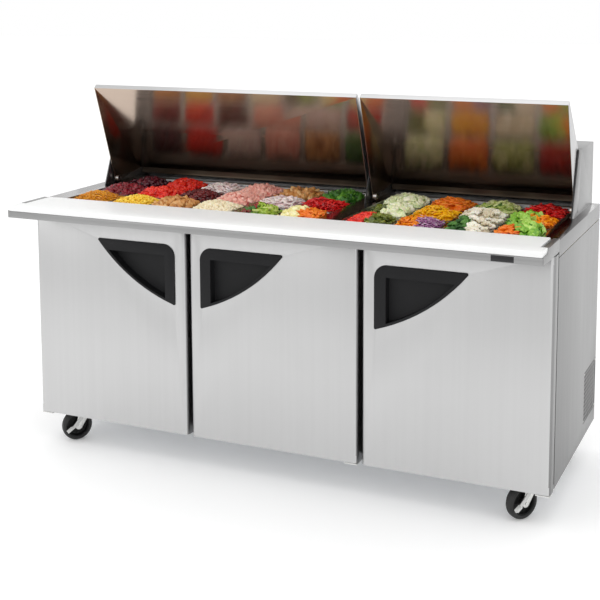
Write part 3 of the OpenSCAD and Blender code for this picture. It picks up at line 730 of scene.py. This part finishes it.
# name: (bits, colours from dark to light, roughness), with bits as (template, size, stretch, count)
FOODS = {
    "cheddar": ([("shred", 0.030, (1, 1, 1), 420)],
        [(0.5, 0.2, 0.01), (0.78, 0.38, 0.02), (0.9, 0.52, 0.05)], 0.4),
    "corn": ([("bead", 0.010, (1, 0.8, 0.8), 620)],
        [(0.7, 0.42, 0.02), (0.9, 0.62, 0.04), (0.95, 0.78, 0.16)], 0.28),
    "beet": ([("dice", 0.013, (1, 1, 1), 300)],
        [(0.08, 0.0, 0.01), (0.25, 0.01, 0.025), (0.4, 0.02, 0.05)], 0.25),
    "grapes": ([("bead", 0.019, (1, 0.85, 0.85), 170)],
        [(0.03, 0.003, 0.01), (0.12, 0.01, 0.03), (0.22, 0.02, 0.04)], 0.2),
    "tomato": ([("dice", 0.015, (1, 0.9, 0.8), 260)],
        [(0.5, 0.01, 0.005), (0.78, 0.03, 0.015), (0.85, 0.1, 0.04)], 0.2),
    "chicken": ([("lump", 0.026, (1.3, 0.8, 0.8), 120)],
        [(0.35, 0.13, 0.03), (0.62, 0.32, 0.1), (0.8, 0.56, 0.3)], 0.45),
    "kidney": ([("bead", 0.016, (1.3, 0.8, 0.7), 260)],
        [(0.06, 0.004, 0.006), (0.16, 0.01, 0.015), (0.26, 0.02, 0.02)], 0.22),
    "cream": ([("dice", 0.014, (1.1, 0.9, 0.8), 280)],
        [(0.72, 0.6, 0.4), (0.85, 0.76, 0.56), (0.9, 0.84, 0.68)], 0.42),
    "ham": ([("dice", 0.017, (1.2, 0.9, 0.6), 240)],
        [(0.66, 0.24, 0.2), (0.82, 0.45, 0.38), (0.88, 0.62, 0.54)], 0.34),
    "herbs": ([("leaf", 0.024, (1, 1, 1), 60), ("bead", 0.017, (1, 0.9, 0.9), 50)],
        [(0.02, 0.09, 0.01), (0.08, 0.24, 0.03), (0.25, 0.02, 0.02), (0.4, 0.03, 0.03)], 0.32),
    "onion": ([("ring", 0.028, (1, 1, 1), 60), ("strip", 0.030, (1, 1, 1), 90)],
        [(0.7, 0.5, 0.52), (0.86, 0.76, 0.74), (0.9, 0.85, 0.82)], 0.24),
    "rings": ([("ring", 0.036, (1, 1, 1), 70)],
        [(0.2, 0.36, 0.03), (0.45, 0.58, 0.1), (0.7, 0.74, 0.32)], 0.24),
    "melon": ([("dice", 0.020, (1, 1, 0.8), 150)],
        [(0.7, 0.62, 0.2), (0.86, 0.8, 0.42), (0.9, 0.86, 0.6)], 0.28),
    "pepper_red": ([("strip", 0.042, (1, 1, 1), 150)],
        [(0.4, 0.004, 0.008), (0.66, 0.015, 0.02), (0.8, 0.06, 0.05)], 0.2),
    "pepper_orange": ([("strip", 0.042, (1, 1, 1), 150)],
        [(0.72, 0.18, 0.005), (0.88, 0.33, 0.01), (0.93, 0.5, 0.04)], 0.2),
    "carrot": ([("slice_round", 0.027, (1, 1, 1), 150)],
        [(0.7, 0.15, 0.01), (0.86, 0.26, 0.02), (0.9, 0.38, 0.06)], 0.32),
    "parsley": ([("leaf", 0.030, (0.8, 1, 1), 110)],
        [(0.015, 0.09, 0.008), (0.06, 0.22, 0.02), (0.2, 0.42, 0.06)], 0.38),
    "pickles": ([("slice_round", 0.024, (1, 1, 1.2), 150)],
        [(0.05, 0.08, 0.01), (0.16, 0.2, 0.03), (0.36, 0.4, 0.1)], 0.24),
    "cucumber": ([("dice", 0.022, (1, 1, 0.8), 120), ("slice_round", 0.030, (1, 1, 1), 30)],
        [(0.2, 0.36, 0.05), (0.74, 0.8, 0.48), (0.86, 0.88, 0.66), (0.9, 0.9, 0.74)], 0.28),
    "cabbage": ([("shred", 0.034, (1, 1, 1), 330)],
        [(0.12, 0.01, 0.1), (0.3, 0.04, 0.26), (0.6, 0.36, 0.55), (0.85, 0.75, 0.82)], 0.3),
    "pepper_yellow": ([("strip", 0.042, (1, 1, 1), 150)],
        [(0.78, 0.36, 0.005), (0.9, 0.52, 0.01), (0.94, 0.66, 0.05)], 0.2),
    "broccoli": ([("floret", 0.042, (1, 1, 1), 45)],
        [(0.02, 0.1, 0.015), (0.07, 0.22, 0.03), (0.2, 0.38, 0.1)], 0.55),
    "cauliflower": ([("floret", 0.050, (1, 1, 1), 40)],
        [(0.66, 0.58, 0.42), (0.86, 0.82, 0.7), (0.9, 0.88, 0.8)], 0.5),
    "zucchini": ([("slice_round", 0.034, (1, 1, 1), 80), ("strip", 0.034, (1, 1, 1), 40)],
        [(0.05, 0.16, 0.02), (0.4, 0.5, 0.12), (0.7, 0.74, 0.4), (0.8, 0.82, 0.55)], 0.3),
    "lettuce": ([("leaf", 0.042, (1, 1, 1), 70)],
        [(0.08, 0.28, 0.02), (0.3, 0.55, 0.06), (0.6, 0.78, 0.25)], 0.35),
    "olives": ([("ring", 0.020, (0.9, 0.9, 1.5), 200)],
        [(0.006, 0.005, 0.006), (0.02, 0.012, 0.015), (0.06, 0.03, 0.04)], 0.22),
}

# foods from left to right in each pan, rows from front to back
MENU = {
    1: (["cheddar"], ["beet"], ["grapes"]),
    2: (["corn"], ["tomato"], ["tomato"]),
    3: (["chicken"], ["kidney"], ["onion"]),
    4: (["cream"], ["ham"], ["ham"]),
    5: (["herbs", "rings"], ["onion"], ["chicken"]),
    6: (["melon", "carrot"], ["pepper_red"], ["parsley"]),
    7: (["tomato", "pickles"], ["pickles", "cucumber"], ["cucumber"]),
    8: (["pepper_orange", "cabbage"], ["pepper_yellow"], ["carrot"]),
    9: (["broccoli", "cauliflower"], ["cauliflower"], ["zucchini"]),
    10: (["carrot", "lettuce"], ["lettuce", "pepper_orange"], ["pepper_red"]),
}


# a shut lid's underside, less 2 mm: its front edge, its height there and its slope
LID_FRONT, LID_LOW, LID_SLOPE = -0.2, 0.8885, 0.431
HEAP_EDGE, HEAP_RISE = -0.005, 0.024
HEAP_STEPS = 22
HEAP_SINK = 0.004
HEAP_MARGIN = 0.0125
FLAT_BITS = ("slice_round", "ring", "leaf", "strip", "shred")


def heap_height(u, v, seed):
    """Height of a heap above the rim, with u and v from -1 to 1 across the pan."""
    dome = (1 - abs(u) ** 2.6) * (1 - abs(v) ** 2.6)
    wave = 0.3 * noise.noise(Vector((u * 1.3 + seed, v * 1.3, seed * 0.37)))
    return HEAP_EDGE + HEAP_RISE * dome * (1 + wave)


def lid_height(y):
    """How high food may stand under a shut lid, whose underside rises to the rear."""
    return LID_LOW + LID_SLOPE * max(0.0, y - LID_FRONT)


def food_pan(column, row, place, half_x, half_y, top):
    """One pan's heap: a mound with bits of each food scattered over it."""
    rng = random.Random(column * 10 + row)
    names = MENU[column][row]
    seed = column * 3.7 + row * 1.9
    points, faces, tints, indices = [], [], [], []

    def surface(u, v):
        return Vector((place[0] + u * half_x, place[1] + v * half_y,
                       top + heap_height(u, v, seed)))

    steps, line = HEAP_STEPS, HEAP_STEPS + 1
    for i in range(line):
        for k in range(line):
            p = surface(2 * i / steps - 1, 2 * k / steps - 1)
            p.z = min(p.z, lid_height(p.y)) - HEAP_SINK
            points.append(p)
            # the mound's tint of 0.1 gives it a colour near the darkest: painted shade in the gaps
            # between the bits
            tints.append(0.1)
    for i in range(steps):
        for k in range(steps):
            a = i * line + k
            faces.append((a, a + line, a + line + 1, a + 1))
            indices.append(min(len(names) - 1, int(len(names) * i / steps)))
    for index, name in enumerate(names):
        u0 = -1 + 2 * index / len(names)
        u1 = u0 + 2 / len(names)
        for template, size, stretch, count in FOODS[name][0]:
            shape_points, shape_faces = TEMPLATES[template]
            margin_u, margin_v = 0.15 * size / half_x, 0.15 * size / half_y
            for _ in range(count // len(names)):
                low_u = max(u0 - 0.05, -1 + margin_u)
                high_u = min(u1 + 0.05, 1 - margin_u)
                u, v = rng.uniform(low_u, high_u), rng.uniform(-1 + margin_v, 1 - margin_v)
                flat = template in FLAT_BITS
                tilt = 0.55 if flat or template == "floret" else math.pi
                turn = (Matrix.Rotation(rng.uniform(0, 2 * math.pi), 4, "Z")
                        @ Matrix.Rotation(rng.gauss(0, tilt / 2), 4, "X")
                        @ Matrix.Rotation(rng.gauss(0, tilt / 2), 4, "Y"))
                grow = size * rng.uniform(0.8, 1.15)
                scale = Matrix.Diagonal((*(grow * part for part in stretch), 1))
                lift = Vector((0, 0, rng.uniform(-0.3, 0.12) * size * (0.4 if flat else 1)))
                matrix = Matrix.Translation(surface(u, v) + lift) @ turn @ scale
                first = len(points)
                bit = [matrix @ p for p in shape_points]
                sink = Vector((0, 0, max(0.0, max(p.z - lid_height(p.y) for p in bit))))
                points += [p - sink for p in bit]
                tints += [min(1, max(0, rng.gauss(0.55, 0.22)))] * len(shape_points)
                faces += [tuple(first + i for i in f) for f in shape_faces]
                indices += [index] * len(shape_faces)
    mesh = mesh_from(f"food_{column}_{row + 1}_mesh", points, faces)
    mesh.attributes.new("tint", "FLOAT", "POINT").data.foreach_set("value", tints)
    mesh.polygons.foreach_set("material_index", indices)
    publish(f"food_{column}_{row + 1}", mesh, f"pans_{column}",
            [FOOD_MATERIALS[n] for n in names], 50)


FOOD_MATERIALS = {name: food_material(name, colors, roughness)
                  for name, (_, colors, roughness) in FOODS.items()}


def food():
    for column in COLUMNS:
        places, half_x, half_y = pan_places(column)
        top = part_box(f"pans_{column}")[1][2]
        for row, place in enumerate(places):
            food_pan(column, row, place, half_x - HEAP_MARGIN, half_y - HEAP_MARGIN, top)


# ---------------------------------------------------------------- casters

CASTER_TURN = math.radians(-35)
WHEEL_HALF = 0.016
HUB_INSET = 0.0125
BORE = 0.0052
SPOKES = 8
SPOKE_THICKNESS, SPOKE_ROUNDING = 0.0018, 0.0015


def mirrored(profile):
    """A profile's (radius, x) points, then their mirror images in x in the opposite order."""
    return profile + [(r, -x) for r, x in reversed(profile)]


def wheel(node):
    """A wheel with a rounded tyre and a spoked hub, in the place of its CAD node."""
    low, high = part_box(node)
    r, half = (high[2] - low[2]) / 2, WHEEL_HALF
    tyre = lathe("tyre", mirrored([(r - 0.013, -half + 0.002), (r - 0.009, -half), (r - 0.007, -half),
                                   (r - 0.003, -half + 0.003), (r - 0.0008, -half + 0.007),
                                   (r, -0.004)]), 64)
    hub_r = r - HUB_INSET
    hub = lathe("hub", mirrored([(BORE, -half - 0.001), (0.013, -half - 0.001), (0.014, -half),
                                 (0.016, -0.008), (hub_r - 0.008, -0.006),
                                 (hub_r - 0.005, -half + 0.003), (hub_r, -half + 0.003)]), 64)
    spoke = loft("spoke", [rounded_loop(0.0095, SPOKE_THICKNESS, SPOKE_ROUNDING, 0.013, 2),
                           rounded_loop(0.0075, SPOKE_THICKNESS, SPOKE_ROUNDING, hub_r - 0.004, 2)])
    at = Matrix.Translation(middle(node)) @ Matrix.Rotation(CASTER_TURN, 4, "Z")
    parts = [(tyre, at, 0), (hub, at, 1)]
    parts += [(spoke, at @ Matrix.Rotation(2 * math.pi * i / SPOKES, 4, "X"), 1)
              for i in range(SPOKES)]
    obj = publish(node + "_piece", join(parts, node + "_mesh"), node, ["tyre", "hub"],
                  35)
    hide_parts(node)


def casters():
    for corner in CORNERS:
        wheel("wheel_" + corner)
        refine("fork_" + corner, ["zinc"], 0.0008)
    for side in ("left", "right"):
        refine("brake_pedal_" + side, ["pedal"], 0.001, segments=3)


# ---------------------------------------------------------------- camera, light and floor

FLOOR_HALF = 30
FLOOR_NEAR, FLOOR_FAR = (0.66, 0.66, 0.66), (0.96, 0.96, 0.96)
FLOOR_SWEEP = (-4.2, -1.5)
FLOOR_GLOW = 0.14
LENS = 71.598
SHIFT_Y = -0.2723
CAMERA_AT = Vector((1.6401, -3.6948, 1.6281))
YAW, PITCH, ROLL = -0.4218, 0.124, -0.0039


def camera():
    ahead = Vector((math.sin(YAW) * math.cos(PITCH), math.cos(YAW) * math.cos(PITCH),
                    -math.sin(PITCH)))
    right = Vector((math.cos(YAW), -math.sin(YAW), 0))
    up = right.cross(ahead)
    right, up = (right * math.cos(ROLL) + up * math.sin(ROLL),
                 up * math.cos(ROLL) - right * math.sin(ROLL))
    turn = Matrix((right, up, -ahead)).transposed().to_4x4()
    data = bpy.data.cameras.new("camera")
    data.lens = LENS
    data.sensor_width = 36
    data.shift_y = SHIFT_Y
    obj = bpy.data.objects.new("camera", data)
    obj.matrix_world = Matrix.Translation(CAMERA_AT) @ turn
    bpy.context.scene.collection.objects.link(obj)
    bpy.context.scene.camera = obj


def area_light(name, place, target, size, power):
    data = bpy.data.lights.new(name, "AREA")
    data.shape = "RECTANGLE"
    data.size, data.size_y = size
    data.energy = power
    obj = bpy.data.objects.new(name, data)
    obj.location = place
    obj.rotation_euler = (Vector(target) - Vector(place)).to_track_quat("-Z", "Y").to_euler()
    bpy.context.scene.collection.objects.link(obj)


def studio():
    world = bpy.data.worlds.new("studio")
    world.use_nodes = True
    background = world.node_tree.nodes["Background"]
    background.inputs["Color"].default_value = (1.0, 1.0, 1.0, 1)
    background.inputs["Strength"].default_value = 1.0
    bpy.context.scene.world = world
    area_light("overhead", (0, -0.6, 4.2), (0, 0, 0.6), (5.0, 4.0), 30)
    area_light("front_left", (-3.2, -4.2, 2.6), (-0.2, 0, 0.6), (3.0, 2.5), 25)
    area_light("front_right", (2.4, -4.4, 2.2), (0.4, 0, 0.5), (2.0, 2.0), 8)
    bpy.context.scene.view_settings.view_transform = "Standard"


def floor():
    """A pale floor, less bright in front, which the doors mirror. Its glow lightens shadows."""
    s = Shader("floor_white", FLOOR_FAR, 0.7)
    s.color(s.ramp(s.remap(s.along("Y"), 0.0, 1.0, FLOOR_SWEEP), [(0.0, FLOOR_NEAR), (1.0, FLOOR_FAR)]))
    s.set("Emission Color", (1, 1, 1, 1))
    s.set("Emission Strength", FLOOR_GLOW)
    corners = [(sx * FLOOR_HALF, sy * FLOOR_HALF, 0) for sx, sy in ((-1, -1), (1, -1), (1, 1), (-1, 1))]
    obj = bpy.data.objects.new("floor", mesh_from("floor_mesh", corners, [(0, 1, 2, 3)]))
    obj.data.materials.append(s.mat)
    bpy.context.scene.collection.objects.link(obj)


camera()
paint_cad()
cabinet()
lids()
doors()
pans()
food()
casters()
studio()
floor()
